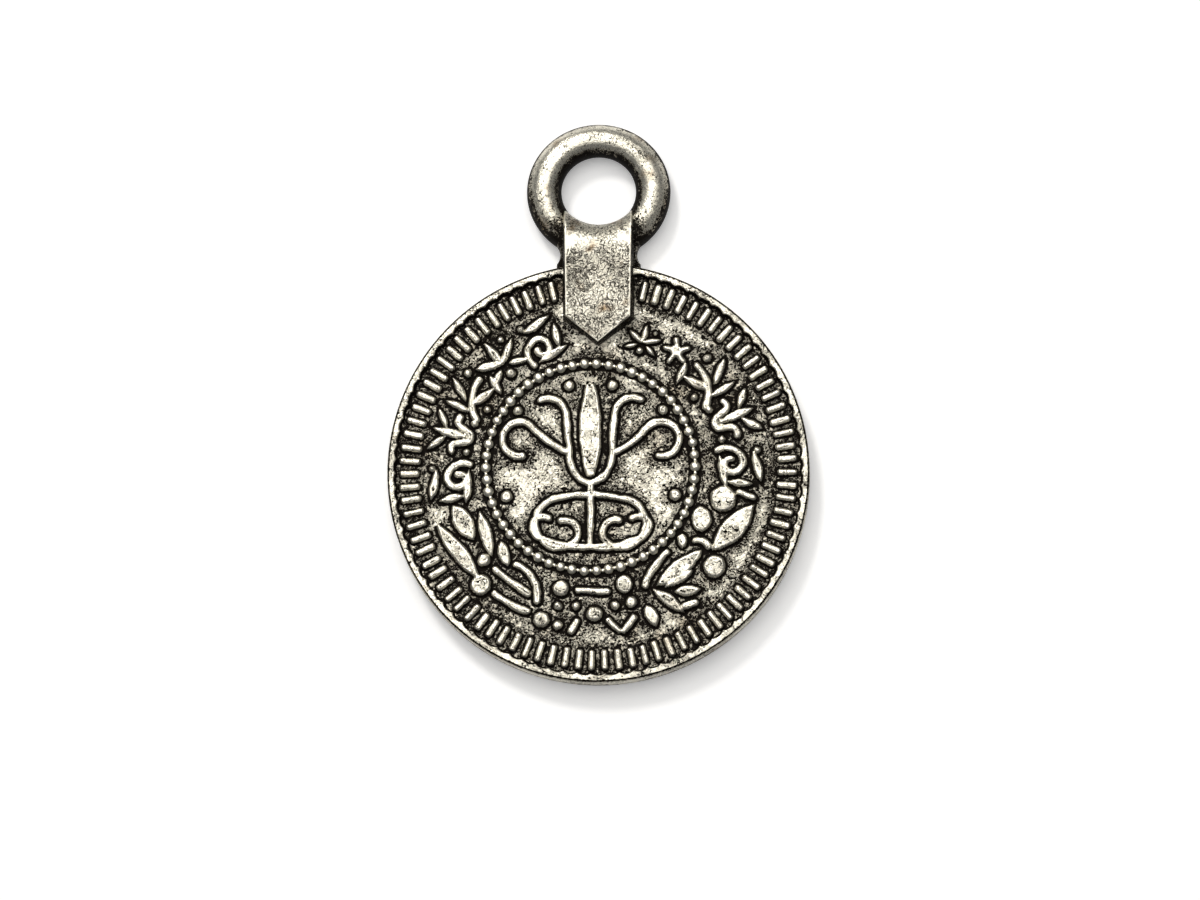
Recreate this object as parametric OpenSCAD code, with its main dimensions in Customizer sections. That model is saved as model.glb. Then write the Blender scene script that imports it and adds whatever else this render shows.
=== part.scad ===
// Coin pendant, cast in one piece: a coin with a raised scalloped rim, radial edge bars,
// a circle of beads, a wreath, a star and scroll ornament, hung by a strap from an oval ring.
// It lies on its plain back at z = 0. +Z points out of the decorated face, +Y towards the ring.
// Millimetres and degrees. x = 0 is the coin's middle, y = 0 the middle of the whole length.

/* [Coin] */
// Width of the coin across its face
coin_width = 24; // [20:0.5:28]
// Height of the rim's top above the back
coin_thickness = 1.75; // [1.6:0.05:2]
// How far the sunk field lies below the rim's top
field_depth = 0.42; // [0.36:0.02:0.5]
// Width of the rim at the top of its scallops
rim_width = 0.42; // [0.34:0.02:0.5]
// How far the rim's points reach in from the scallops
scallop_depth = 0.13; // [0.08:0.01:0.18]
// Bevel on the coin's two edges
edge_bevel = 0.08; // [0.04:0.02:0.1]

/* [Edge bars] */
// Number of bars around the whole edge, with those that the strap covers
bar_count = 90; // [80:2:96]
// Length of a bar along the radius
bar_length = 1.24; // [1:0.02:1.4]
// Width of a bar
bar_width = 0.42; // [0.34:0.02:0.46]
// Size of the cuts at a bar's corners
bar_corner = 0.09; // [0.06:0.01:0.12]
// Height of the bars, the beads and the scrolls above the field
relief_rise = 0.28; // [0.22:0.02:0.34]
// Space between the rim's points and the bars
bar_gap = 0.09; // [0.06:0.01:0.14]

/* [Bead circle] */
// Number of beads in the circle
bead_count = 54; // [46:2:58]
// Width of one bead
bead_width = 0.52; // [0.44:0.02:0.52]
// Width of the bead circle between the middles of opposite beads
bead_circle_width = 11.9; // [11:0.1:12.4]
// How far the bead circle's middle lies to the left of the coin's
bead_circle_left = 0.45; // [0:0.05:0.6]
// How far the bead circle's middle lies above the coin's
bead_circle_up = 0.33; // [0:0.03:0.5]
// Width of the tiny beads between the beads
link_width = 0.16; // [0.1:0.01:0.16]

/* [Scrolls] */
// Width of a scroll stroke
stroke_width = 0.46; // [0.38:0.02:0.48]
// Height of the flower spray inside the bead circle
spray_height = 10.2; // [9:0.1:10.4]
// Length of one full sprig in the outer band
sprig_length = 3.5; // [3:0.1:3.6]
// Width of the star over its points
star_width = 1.7; // [1.3:0.1:1.9]
// Width of the star over its inner corners
star_inner_width = 0.88; // [0.7:0.02:1]
// Width of the star's blunt tips
star_tip = 0.3; // [0.2:0.02:0.36]

/* [Wreath] */
// Length of the longest wreath leaf
leaf_length = 2.7; // [2.3:0.1:2.9]
// Width of the broadest wreath leaf
leaf_width = 1.35; // [1.1:0.05:1.4]
// Width of the largest wreath berry
berry_width = 1.55; // [1.3:0.05:1.6]

/* [Ring] */
// Width of the oval ring
ring_width = 8.2; // [7.6:0.1:9]
// Height of the oval ring along the pendant
ring_height = 7.8; // [7.4:0.1:8.4]
// Thickness of the ring
ring_thickness = 1.88; // [1.7:0.02:2.1]
// Space between the ring and the coin's edge, which the neck bridges
ring_gap = 0.36; // [0.24:0.02:0.4]

/* [Strap] */
// Width of the strap's face where it leaves the ring
strap_width = 3.9; // [3.4:0.1:4.4]
// How much narrower the strap's face is at its shoulders
strap_taper = 0.2; // [0.1:0.05:0.4]
// How far the middle of the strap's end reaches over the edge of the ring's hole
strap_overhang = 0.1; // [0.05:0.05:0.3]
// How much wider than the ring's hole the arc of the strap's end is, on each side
strap_arc_extra = 0.3; // [0.2:0.05:0.5]
// How far the strap's corners run up beside the ring's hole
strap_corner_rise = 0.75; // [0.5:0.05:1]
// Length of the strap's face from the ring's hole to its point
strap_length = 6.95; // [6.3:0.05:7.2]
// Length of the strap's point
strap_point = 1.5; // [1.2:0.1:1.8]
// Height of the strap's face above the rim
strap_rise = 0.7; // [0.6:0.05:0.8]
// Lean of the strap's side walls
strap_lean = 10; // [6:1:14]
// Radius of the round with which the strap turns over the ring
strap_round = 1.3; // [1.2:0.05:1.5]

/* [Neck] */
// Width of the neck between coin and ring at its narrowest
neck_width = 4.4; // [4:0.1:5]
// Thickness of the neck
neck_thickness = 1.3; // [1:0.05:1.4]
// Radius of the hollows in the neck's sides
neck_hollow = 0.8; // [0.65:0.05:0.9]

/* [Hidden] */
$fn = 64;
coin_r = coin_width / 2;
field_z = coin_thickness - field_depth;
root = field_depth / 2;
metal = [0.78, 0.76, 0.68];
// How far a cut runs past what it cuts
beyond = 1;
// How far the strap's round stands above its face where they meet, so that they cross
round_lift = 0.05;
// Blobs at the ends of strokes against the stroke's width and height, and a berry's height
knuckle_width_share = 1.14;
knuckle_rise_share = 1.08;
berry_rise_share = 1.15;
// How far a stroke's runs stop short of their ends, inside the blobs there
run_stop = stroke_width / 10;

scallop_r = coin_r - rim_width;
point_r = scallop_r - scallop_depth;
bar_pitch = 360 / bar_count;
bar_outer_r = point_r - bar_gap;
bead_middle = [-bead_circle_left, bead_circle_up];
bead_circle_r = bead_circle_width / 2;
spray_unit = spray_height / 10;

ring_middle_y = coin_r + ring_gap + ring_height / 2;
ring_hole_bottom = ring_middle_y - ring_height / 2 + ring_thickness;
strap_top_z = coin_thickness + strap_rise;
strap_edge_y = ring_hole_bottom + strap_overhang;
strap_tip_y = strap_edge_y - strap_length;
strap_shoulder_y = strap_tip_y + strap_point;
// The strap's end is struck from here, around the ring's hole
strap_arc_r = (ring_width - 2 * ring_thickness) / 2 + strap_arc_extra;
strap_arc_y = strap_edge_y + strap_arc_r;
middle_shift = coin_r - (coin_width + ring_gap + ring_height) / 2;

// Middle of the star, across and up in coin radii
STAR_PLACE = [0.371, 0.579];

// Outer sprigs: [place around the coin, distance from its middle in coin radii,
// 1 or -1 for its hand, size in sprig lengths, kind]
SPRIGS = [
  [3.5, 0.668, 1, 0.76, "curl"],
  [22.5, 0.676, 1, 0.76, "palmette"],
  [41, 0.672, -1, 0.76, "sprig"],
  [71.5, 0.655, 1, 0.50, "fan"],
  [114, 0.690, 1, 0.74, "curl"],
  [131, 0.695, 1, 0.72, "fan"],
  [147.5, 0.700, 1, 0.74, "sprig"],
  [164.5, 0.700, 1, 0.72, "palmette"],
  [182.5, 0.700, -1, 0.74, "curl"],
];

// Leaves of each kind of sprig: [kind, along and out in tenths of a sprig's length,
// turn, length and width in tenths]
SPRIG_LEAVES = [
  ["curl", 1.6, -3.7, 8, 5.2, 2.1],
  ["curl", 0.9, 3.7, 12, 5.0, 2.2],
  ["curl", 4.1, -0.2, 80, 4.2, 2.0],
  ["sprig", -3.9, 1.6, 100, 4.4, 1.9],
  ["sprig", -0.6, 3.4, 62, 4.4, 1.9],
  ["sprig", 0.6, -1.9, -22, 4.8, 2.1],
  ["sprig", 4.4, -2.8, 66, 3.8, 1.9],
  ["palmette", 0, 1.4, 90, 5.6, 2.3],
  ["palmette", 2.9, 3.8, 40, 3.8, 1.9],
  ["palmette", -2.9, 3.8, 140, 3.8, 1.9],
  ["fan", 2.6, 1.4, 28, 4.8, 2.2],
  ["fan", 0, 2.9, 90, 4.8, 2.2],
  ["fan", -2.6, 1.4, 152, 4.8, 2.2],
  ["fan", 3.2, -1.9, -28, 3.6, 1.9],
  ["fan", -3.2, -1.9, 208, 3.6, 1.9],
];

// Berries of each kind of sprig: [kind, along and out in tenths, width in tenths]
SPRIG_BERRIES = [
  ["curl", -2.6, 4, 1.7],
  ["sprig", 3.4, 3.6, 2],
  ["sprig", -1.2, -4.2, 1.8],
  ["palmette", 0, -1.9, 1.5],
  ["palmette", 3.4, -3.4, 1.8],
  ["palmette", -3.4, -3.4, 1.8],
  ["fan", 0, -2.8, 2.4],
  ["fan", 3.2, 4.4, 1.7],
];

// Strokes of each kind of sprig: [kind, along and out in tenths, heading,
// true if it starts bare, and its runs of [length in tenths, turn]]
SPRIG_STROKES = [
  ["curl", -3.2, -4.4, 118, false, [[6.2, -98], [6, -160], [3.2, -150]]],
  ["sprig", -4.4, -3.6, 62, false, [[9.6, -66]]],
  ["palmette", 0, -3.4, -8, false, [[1.6, 80], [2.2, 0], [2.4, -110]]],
  ["palmette", 0, -3.4, 188, true, [[1.6, -80], [2.2, 0], [2.4, 110]]],
];

// Wreath leaves: [across and up in coin radii, turn, length and width in shares of the largest]
LEAVES = [
  [-0.640, -0.233, -58, 0.71, 0.88],
  [-0.532, -0.290, -75, 0.70, 0.59],
  [-0.664, -0.372, -52, 1.00, 0.71],
  [-0.446, -0.383, -72, 0.46, 0.56],
  [0.122, -0.533, 85, 0.41, 0.73],
  [0.250, -0.683, -65, 0.44, 0.59],
  [0.333, -0.613, -37, 0.60, 0.55],
  [0.383, -0.458, 38, 0.85, 0.77],
  [0.380, -0.508, 30, 0.50, 0.42],
  [0.420, -0.563, 8, 0.45, 0.50],
  [0.396, -0.325, 90, 0.30, 0.45],
  [0.487, -0.221, 95, 0.56, 0.91],
  [0.638, -0.267, 48, 0.96, 1.00],
];

// Wreath berries: [across and up in coin radii, width in shares of the largest]
BERRIES = [
  [-0.542, -0.413, 0.53],
  [-0.558, -0.533, 0.82],
  [-0.269, -0.700, 0.64],
  [-0.178, -0.550, 0.61],
  [-0.192, -0.633, 0.36],
  [-0.106, -0.633, 0.36],
  [-0.020, -0.675, 0.61],
  [0.077, -0.633, 0.37],
  [0.158, -0.617, 0.47],
  [-0.192, -0.729, 0.40],
  [0.548, -0.450, 0.86],
  [0.592, -0.125, 1.00],
];

// Wreath twigs: [across and up in coin radii, heading, length in leaf lengths, turn]
TWIGS = [
  [-0.488, -0.462, -38, 0.85, 4],
  [-0.488, -0.575, -42, 0.78, 26],
  [-0.388, -0.437, -20, 0.95, -80],
  [-0.098, -0.560, -2, 0.62, 0],
  [-0.130, -0.752, 58, 0.24, 0],
  [0.050, -0.705, -42, 0.32, 0],
  [0.122, -0.757, 55, 0.34, 0],
  [0.325, -0.383, -138, 0.85, 28],
  [0.458, -0.325, 10, 0.34, -70],
  [0.667, -0.098, -20, 0.30, 0],
  [0.410, -0.640, 20, 0.24, 0],
];

// The spray's stem, [foot up, length], and its leaf, [middle up, length, width], in spray units
SPRAY_STEM = [-4.5, 3.6];
SPRAY_LEAF = [2.1, 4, 1.3];

// Half of the flower spray: [start across and up in spray units, heading,
// and its runs of [length in spray units, turn]]
SPRAY = [
  [0, -1.5, -4, [[2.0, -8], [4.7, -195], [2.2, -170]]],
  [0, -0.9, 12, [[1.9, 74], [2.5, 0], [2.0, -110]]],
  [1.42, 0.9, 24, [[2.25, 25], [4.1, -240]]],
  [0, -4.5, -4, [[3.0, 30], [2.0, 185]]],
];

// Blobs of the spray's half: [across and up in spray units, width in stroke widths]
SPRAY_DOTS = [
  [4.70, -1.6, 1.6],
  [4.05, 3.2, 1.3],
  [1.20, 4.6, 1.4],
];

// ---- small shapes of the relief

// A round blob that ends or joins strokes, a little wider and higher than they are
module knuckle() {
  translate([0, 0, field_z - root])
    cylinder(h = root + relief_rise * knuckle_rise_share, d = stroke_width * knuckle_width_share);
}

// Cross-section of a stroke, standing on the x axis with its foot sunk in the field
module stroke_section() {
  translate([-stroke_width / 2, field_z - root]) square([stroke_width, root + relief_rise]);
}

// Scales the lengths of a table of runs and keeps their turns
function scaled(unit) = [[unit, 0], [0, 1]];
function bend_radius(run) = run[0] * 180 / (PI * run[1]);
function run_end(run) =
  run[1] == 0 ? [run[0], 0]
  : [bend_radius(run) * sin(run[1]), bend_radius(run) * (1 - cos(run[1]))];

// One straight or curved run of a stroke from the origin along +x: run is [length, turn].
// It stops short of both its ends, inside the knuckles there.
module stroke_run(run) {
  if (run[1] == 0)
    translate([run_stop, 0]) rotate([90, 0, 90]) linear_extrude(run[0] - 2 * run_stop) stroke_section();
  else {
    bend = abs(bend_radius(run));
    stop_angle = run_stop / bend * 180 / PI;
    translate([0, bend_radius(run)])
      rotate((run[1] > 0 ? -90 : 90 + run[1]) + stop_angle)
        rotate_extrude(angle = abs(run[1]) - 2 * stop_angle) translate([bend, 0]) stroke_section();
  }
}

// A whole stroke from the origin along +x, its runs in a row with knuckles at their ends.
// One that branches off another shape starts bare.
module stroke(runs, bare = false, done = 0) {
  if (!bare) knuckle();
  if (done < len(runs)) {
    stroke_run(runs[done]);
    translate(run_end(runs[done])) rotate(runs[done][1]) stroke(runs, false, done + 1);
  }
}

// A pointed leaf along x, flat on top
module leaf(long, wide) {
  bow = (long * long + wide * wide) / (4 * wide);
  intersection_for(side = [-1, 1])
    translate([0, side * (bow - wide / 2), field_z - root]) cylinder(h = root + relief_rise, r = bow);
}

// A low round berry
module berry(wide) {
  rise = relief_rise * berry_rise_share;
  dome_r = (wide * wide / 4 + rise * rise) / (2 * rise);
  translate([0, 0, field_z + rise - dome_r])
    intersection() {
      sphere(dome_r);
      translate([-wide, -wide, dome_r - rise - root]) cube([2 * wide, 2 * wide, 2 * rise + root]);
    }
}

// ---- parts of the pendant

// The coin's blank with its bevelled edges
module blank() {
  rotate_extrude()
    polygon([
      [0, 0],
      [coin_r - edge_bevel, 0],
      [coin_r, edge_bevel],
      [coin_r, coin_thickness - edge_bevel],
      [coin_r - edge_bevel, coin_thickness],
      [0, coin_thickness],
    ]);
}

// Outline of the sunk field, with one arch over each gap between bars
module field_outline() {
  half_pitch = point_r * sin(bar_pitch / 2);
  arch_r = (half_pitch * half_pitch + scallop_depth * scallop_depth) / (2 * scallop_depth);
  circle(point_r - scallop_depth);
  for (gap = [0:bar_count - 1])
    rotate((gap + 0.5) * bar_pitch) translate([scallop_r - arch_r, 0]) circle(arch_r);
}

// One bar along the radius, its corners cut off
module edge_bar() {
  inner = bar_outer_r - bar_length;
  half = bar_width / 2;
  translate([0, 0, field_z - root])
    linear_extrude(root + relief_rise)
      polygon([
        [inner, bar_corner - half], [inner + bar_corner, -half],
        [bar_outer_r - bar_corner, -half], [bar_outer_r, bar_corner - half],
        [bar_outer_r, half - bar_corner], [bar_outer_r - bar_corner, half],
        [inner + bar_corner, half], [inner, half - bar_corner],
      ]);
}

// The bars all around the edge, but for those under the strap
module edge_bars() {
  hidden_half = asin((strap_width / 2 + bar_width) / bar_outer_r);
  for (bar = [0:bar_count - 1])
    if (abs(bar * bar_pitch - 90) > hidden_half)
      rotate(bar * bar_pitch) edge_bar();
}

// The beads and the tiny beads between them
module bead_circle() {
  bead_pitch = 360 / bead_count;
  translate([bead_middle.x, bead_middle.y, field_z + relief_rise - bead_width / 2])
    for (bead = [0:bead_count - 1]) {
      rotate(bead * bead_pitch) translate([bead_circle_r, 0]) sphere(d = bead_width);
      rotate((bead + 0.5) * bead_pitch) translate([bead_circle_r, 0]) sphere(d = link_width);
    }
}

// The flower spray: a stem with a leaf between mirrored scrolls
module spray() {
  translate([bead_middle.x, bead_middle.y]) {
    translate([0, SPRAY_STEM[0]] * spray_unit) rotate(90) stroke([[SPRAY_STEM[1] * spray_unit, 0]]);
    translate([0, SPRAY_LEAF[0]] * spray_unit)
      rotate(90) leaf(SPRAY_LEAF[1] * spray_unit, SPRAY_LEAF[2] * spray_unit);
    for (side = [0, 1])
      mirror([side, 0]) {
        for (row = SPRAY)
          translate([row[0], row[1]] * spray_unit)
            rotate(row[2]) stroke(row[3] * scaled(spray_unit), bare = true);
        for (dot = SPRAY_DOTS)
          translate([dot[0], dot[1]] * spray_unit) berry(dot[2] * stroke_width);
      }
  }
}

// One sprig of the outer band: x runs along the band, y out to the rim
module sprig(kind, size) {
  unit = sprig_length * size / 10;
  for (row = SPRIG_STROKES)
    if (row[0] == kind)
      translate([row[1], row[2]] * unit) rotate(row[3]) stroke(row[5] * scaled(unit), bare = row[4]);
  for (row = SPRIG_LEAVES)
    if (row[0] == kind)
      translate([row[1], row[2]] * unit) rotate(row[3]) leaf(row[4] * unit, row[5] * unit);
  for (row = SPRIG_BERRIES)
    if (row[0] == kind)
      translate([row[1], row[2]] * unit) berry(row[3] * unit);
}

// The sprigs in their places around the outer band
module sprigs() {
  for (place = SPRIGS)
    rotate(place[0]) translate([place[1] * coin_r, 0])
      rotate(-90) scale([place[2], 1, 1]) sprig(place[4], place[3]);
}

// The five-armed star to the right of the strap, its tips blunt
module star() {
  tip_angle = asin(star_tip / star_width);
  corners = [[-tip_angle, star_width], [tip_angle, star_width], [36, star_inner_width]];
  translate([STAR_PLACE[0] * coin_r, STAR_PLACE[1] * coin_r, field_z - root])
    linear_extrude(root + relief_rise)
      polygon([
        for (arm = [0:4])
          for (corner = corners)
            corner[1] / 2 * [cos(90 + 72 * arm + corner[0]), sin(90 + 72 * arm + corner[0])],
      ]);
}

// The leaves, berries and twigs of the wreath around the coin's lower half
module wreath() {
  for (row = LEAVES)
    translate([row[0], row[1]] * coin_r) rotate(row[2]) leaf(row[3] * leaf_length, row[4] * leaf_width);
  for (row = BERRIES)
    translate([row[0], row[1]] * coin_r) berry(row[2] * berry_width);
  for (row = TWIGS)
    translate([row[0], row[1]] * coin_r) rotate(row[2]) stroke([[row[3] * leaf_length, row[4]]]);
}

// The oval ring, resting on the same plane as the coin's back
module ring() {
  bend = (ring_height - ring_thickness) / 2;
  translate([0, ring_middle_y, ring_thickness / 2])
    scale([ring_width / ring_height, 1, 1])
      rotate_extrude() translate([bend, 0]) circle(d = ring_thickness);
}

// The neck that joins the coin to the ring, its sides hollowed. Its foot starts at the
// scallops, where the strap's sides cross them.
module neck() {
  low = sqrt(scallop_r * scallop_r - strap_width * strap_width / 4);
  high = coin_r + ring_gap + ring_thickness / 2;
  half = neck_width / 2 + neck_hollow / 4;
  translate([0, 0, (ring_thickness - neck_thickness) / 2])
    linear_extrude(neck_thickness)
      difference() {
        translate([-half, low]) square([2 * half, high - low]);
        for (side = [-1, 1])
          translate([side * (neck_width / 2 + neck_hollow), coin_r + (ring_gap + neck_hollow) / 2])
            circle(neck_hollow);
      }
}

// Half-space behind a leaning wall of the strap, whose top edge passes through a point
module behind_wall(point, facing) {
  size = 3 * strap_length;
  translate([point.x, point.y, strap_top_z]) rotate(facing) rotate([0, -strap_lean, 0])
    translate([-size, -size / 2, -size / 2]) cube(size);
}

// Cross-section of the strap from its arc outwards, its end rounded down over the ring
module strap_section() {
  bottom = ring_thickness / 2;
  round_z = strap_top_z + round_lift - strap_round;
  difference() {
    translate([strap_arc_r, bottom]) square([strap_length + beyond, strap_top_z - bottom]);
    difference() {
      translate([strap_arc_r - beyond, round_z]) square([beyond + strap_round, strap_round + beyond]);
      translate([strap_arc_r + strap_round, round_z]) circle(strap_round);
    }
  }
}

// What lies inside the strap's four leaning walls, as far up as its corners
module strap_walls() {
  shoulder = (strap_width - strap_taper) / 2;
  taper_angle = atan((strap_taper / 2) / (strap_arc_y - strap_shoulder_y));
  point_angle = -atan2(shoulder, strap_point);
  intersection() {
    behind_wall([shoulder, strap_shoulder_y], -taper_angle);
    behind_wall([-shoulder, strap_shoulder_y], 180 + taper_angle);
    behind_wall([0, strap_tip_y], point_angle);
    behind_wall([0, strap_tip_y], 180 - point_angle);
    translate([-strap_width, strap_tip_y - strap_width, 0])
      cube([2 * strap_width, strap_length + strap_width + strap_corner_rise, strap_top_z + beyond]);
  }
}

// The strap: flat over the coin, then rounded down to the edge of the ring's hole
module strap() {
  intersection() {
    translate([0, strap_arc_y]) rotate_extrude() strap_section();
    strap_walls();
  }
}

// The whole casting
module pendant() {
  color(metal)
    translate([0, middle_shift]) {
      difference() {
        blank();
        translate([0, 0, field_z]) linear_extrude(field_depth + beyond) field_outline();
      }
      edge_bars();
      bead_circle();
      spray();
      sprigs();
      star();
      wreath();
      ring();
      neck();
      strap();
    }
}

pendant();
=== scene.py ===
import math

import bmesh
import bpy
import numpy as np
from bpy.props import FloatProperty, FloatVectorProperty, IntProperty, PointerProperty
from mathutils import Matrix, Vector


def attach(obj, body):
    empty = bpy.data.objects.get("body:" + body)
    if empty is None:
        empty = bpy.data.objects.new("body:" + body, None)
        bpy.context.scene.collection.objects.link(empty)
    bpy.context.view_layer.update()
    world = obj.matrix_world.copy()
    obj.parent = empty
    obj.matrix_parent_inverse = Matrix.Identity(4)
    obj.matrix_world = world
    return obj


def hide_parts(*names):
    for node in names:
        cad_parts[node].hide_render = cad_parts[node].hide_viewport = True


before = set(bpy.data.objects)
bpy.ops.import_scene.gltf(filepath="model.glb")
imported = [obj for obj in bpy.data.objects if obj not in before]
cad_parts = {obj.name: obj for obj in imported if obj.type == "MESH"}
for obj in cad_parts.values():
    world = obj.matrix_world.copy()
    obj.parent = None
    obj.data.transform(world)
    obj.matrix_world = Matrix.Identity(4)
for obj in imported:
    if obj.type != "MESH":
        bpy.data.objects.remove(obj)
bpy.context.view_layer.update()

bl_info = {
    "name": "Coin pendant",
    "version": (1, 0, 0),
    "blender": (4, 5, 0),
    "location": "3D View > Sidebar > Pendant",
    "description": "Builds a cast, antiqued coin pendant: coin, relief, beads, ring and strap",
    "category": "Add Mesh",
}

MM = 0.001

# ---- the ornament, in shares of the sizes that it follows

# Outer sprigs: place around the coin, distance from its middle in coin radii, hand, size, kind
SPRIGS = [
    (3.5, 0.668, 1, 0.76, "curl"),
    (22.5, 0.676, 1, 0.76, "palmette"),
    (41, 0.672, -1, 0.76, "sprig"),
    (71.5, 0.655, 1, 0.50, "fan"),
    (114, 0.690, 1, 0.74, "curl"),
    (131, 0.695, 1, 0.72, "fan"),
    (147.5, 0.700, 1, 0.74, "sprig"),
    (164.5, 0.700, 1, 0.72, "palmette"),
    (182.5, 0.700, -1, 0.74, "curl"),
]

# Leaves of each kind of sprig: kind, along, out, turn, length, width, in tenths of its length
SPRIG_LEAVES = [
    ("curl", 1.6, -3.7, 8, 5.2, 2.1),
    ("curl", 0.9, 3.7, 12, 5.0, 2.2),
    ("curl", 4.1, -0.2, 80, 4.2, 2.0),
    ("sprig", -3.9, 1.6, 100, 4.4, 1.9),
    ("sprig", -0.6, 3.4, 62, 4.4, 1.9),
    ("sprig", 0.6, -1.9, -22, 4.8, 2.1),
    ("sprig", 4.4, -2.8, 66, 3.8, 1.9),
    ("palmette", 0, 1.4, 90, 5.6, 2.3),
    ("palmette", 2.9, 3.8, 40, 3.8, 1.9),
    ("palmette", -2.9, 3.8, 140, 3.8, 1.9),
    ("fan", 2.6, 1.4, 28, 4.8, 2.2),
    ("fan", 0, 2.9, 90, 4.8, 2.2),
    ("fan", -2.6, 1.4, 152, 4.8, 2.2),
    ("fan", 3.2, -1.9, -28, 3.6, 1.9),
    ("fan", -3.2, -1.9, 208, 3.6, 1.9),
]

# Berries of each kind of sprig: kind, along, out, width
SPRIG_BERRIES = [
    ("curl", -2.6, 4, 1.7),
    ("sprig", 3.4, 3.6, 2),
    ("sprig", -1.2, -4.2, 1.8),
    ("palmette", 0, -1.9, 1.5),
    ("palmette", 3.4, -3.4, 1.8),
    ("palmette", -3.4, -3.4, 1.8),
    ("fan", 0, -2.8, 2.4),
    ("fan", 3.2, 4.4, 1.7),
]

# Strokes of each kind of sprig: kind, along, out, heading, runs of length and turn
SPRIG_STROKES = [
    ("curl", -3.2, -4.4, 118, [(6.2, -98), (6, -160), (3.2, -150)]),
    ("sprig", -4.4, -3.6, 62, [(9.6, -66)]),
    ("palmette", 0, -3.4, -8, [(1.6, 80), (2.2, 0), (2.4, -110)]),
    ("palmette", 0, -3.4, 188, [(1.6, -80), (2.2, 0), (2.4, 110)]),
]

# Wreath leaves: across and up in coin radii, turn, length and width in shares of the largest
LEAVES = [
    (-0.640, -0.233, -58, 0.71, 0.88),
    (-0.532, -0.290, -75, 0.70, 0.59),
    (-0.664, -0.372, -52, 1.00, 0.71),
    (-0.446, -0.383, -72, 0.46, 0.56),
    (0.122, -0.533, 85, 0.41, 0.73),
    (0.250, -0.683, -65, 0.44, 0.59),
    (0.333, -0.613, -37, 0.60, 0.55),
    (0.383, -0.458, 38, 0.85, 0.77),
    (0.380, -0.508, 30, 0.50, 0.42),
    (0.420, -0.563, 8, 0.45, 0.50),
    (0.396, -0.325, 90, 0.30, 0.45),
    (0.487, -0.221, 95, 0.56, 0.91),
    (0.638, -0.267, 48, 0.96, 1.00),
]

# Wreath berries: across and up in coin radii, width in shares of the largest
BERRIES = [
    (-0.542, -0.413, 0.53),
    (-0.558, -0.533, 0.82),
    (-0.269, -0.700, 0.64),
    (-0.178, -0.550, 0.61),
    (-0.192, -0.633, 0.36),
    (-0.106, -0.633, 0.36),
    (-0.020, -0.675, 0.61),
    (0.077, -0.633, 0.37),
    (0.158, -0.617, 0.47),
    (-0.192, -0.729, 0.40),
    (0.548, -0.450, 0.86),
    (0.592, -0.125, 1.00),
]

# Wreath twigs: across and up in coin radii, heading, length in leaf lengths, turn
TWIGS = [
    (-0.488, -0.462, -38, 0.85, 4),
    (-0.488, -0.575, -42, 0.78, 26),
    (-0.388, -0.437, -20, 0.95, -80),
    (-0.098, -0.560, -2, 0.62, 0),
    (-0.130, -0.752, 58, 0.24, 0),
    (0.050, -0.705, -42, 0.32, 0),
    (0.122, -0.757, 55, 0.34, 0),
    (0.325, -0.383, -138, 0.85, 28),
    (0.458, -0.325, 10, 0.34, -70),
    (0.667, -0.098, -20, 0.30, 0),
    (0.410, -0.640, 20, 0.24, 0),
]

# Half of the flower spray: across and up in spray units, heading, runs of length and turn
SPRAY = [
    (0, -1.5, -4, [(2.0, -8), (4.7, -195), (2.2, -170)]),
    (0, -0.9, 12, [(1.9, 74), (2.5, 0), (2.0, -110)]),
    (1.42, 0.9, 24, [(2.25, 25), (4.1, -240)]),
    (0, -4.5, -4, [(3.0, 30), (2.0, 185)]),
]

# The spray's stem, foot up and length, its leaf, middle up, length and width, in spray units,
# and its dots, across and up in spray units and width in stroke widths
SPRAY_STEM = (-4.5, 3.6)
SPRAY_LEAF = (2.1, 4, 1.3)
SPRAY_DOTS = [(4.70, -1.6, 1.6), (4.05, 3.2, 1.3), (1.20, 4.6, 1.4)]

# The star's middle in coin radii, and half the width of its arms in millimetres
STAR_PLACE = (0.371, 0.579)
STAR_ARM = 0.17

# Where the field is rubbed bright: across and up in coin radii, reach in coin radii
WORN_PATCHES = [
    (-0.40, -0.16, 0.13),
    (0.27, -0.24, 0.14),
    (0.20, 0.42, 0.10),
    (0.46, 0.66, 0.12),
    (-0.16, 0.22, 0.09),
    (0.16, 0.10, 0.08),
    (-0.30, 0.50, 0.10),
    (0.62, -0.60, 0.09),
    (-0.74, -0.20, 0.08),
]

# Each metal finish: size of its specks and depth of its pits in millimetres, roughness, share of
# brown, how far the specks break up the black, strength of the curled creases, overall dulling
FINISHES = {
    "silver_side": (0.16, 0.012, 0.36, 0.5, 1.15, 0, 0),
    "silver_relief": (0.17, 0.032, 0.30, 0.45, 1.0, 0.25, 0),
    "silver_beads": (0.10, 0.010, 0.30, 0.25, 1.0, 0, 0),
    "silver_ring": (0.13, 0.014, 0.29, 1.0, 1.0, 0.35, 0.05),
    "silver_strap": (0.085, 0.022, 0.34, 1.0, 1.5, 0.85, 0.05),
}
CREASE_SIZE = 0.30    # of the curled creases, in millimetres
SPECULAR = 0.06       # low, so that the black recesses stay deep
BLACK = 1.4           # tarnish and painted shade above 1 are black even where the specks are bright

# Lamps: name, place in metres, size, power, colour
LAMPS = [
    ("overhead", (-0.04, 0.20, 0.59), 0.62, 2.45, (1.0, 0.985, 0.955)),
    ("key", (-0.18, 0.37, 0.44), 0.12, 1.3, (1.0, 0.98, 0.95)),
]
FLOOR_COLOUR = (0.93, 0.93, 0.93, 1)
FLOOR_GLOW = 0.28
ROOM_COLOUR = (0.96, 0.97, 1.0, 1)
ROOM_LIGHT = 0.13
VIEW_OFFSET = (0.0001, 0.00127)    # middle of the view from the coin's middle, in metres

# ---- measures in millimetres that no setting gives

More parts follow.
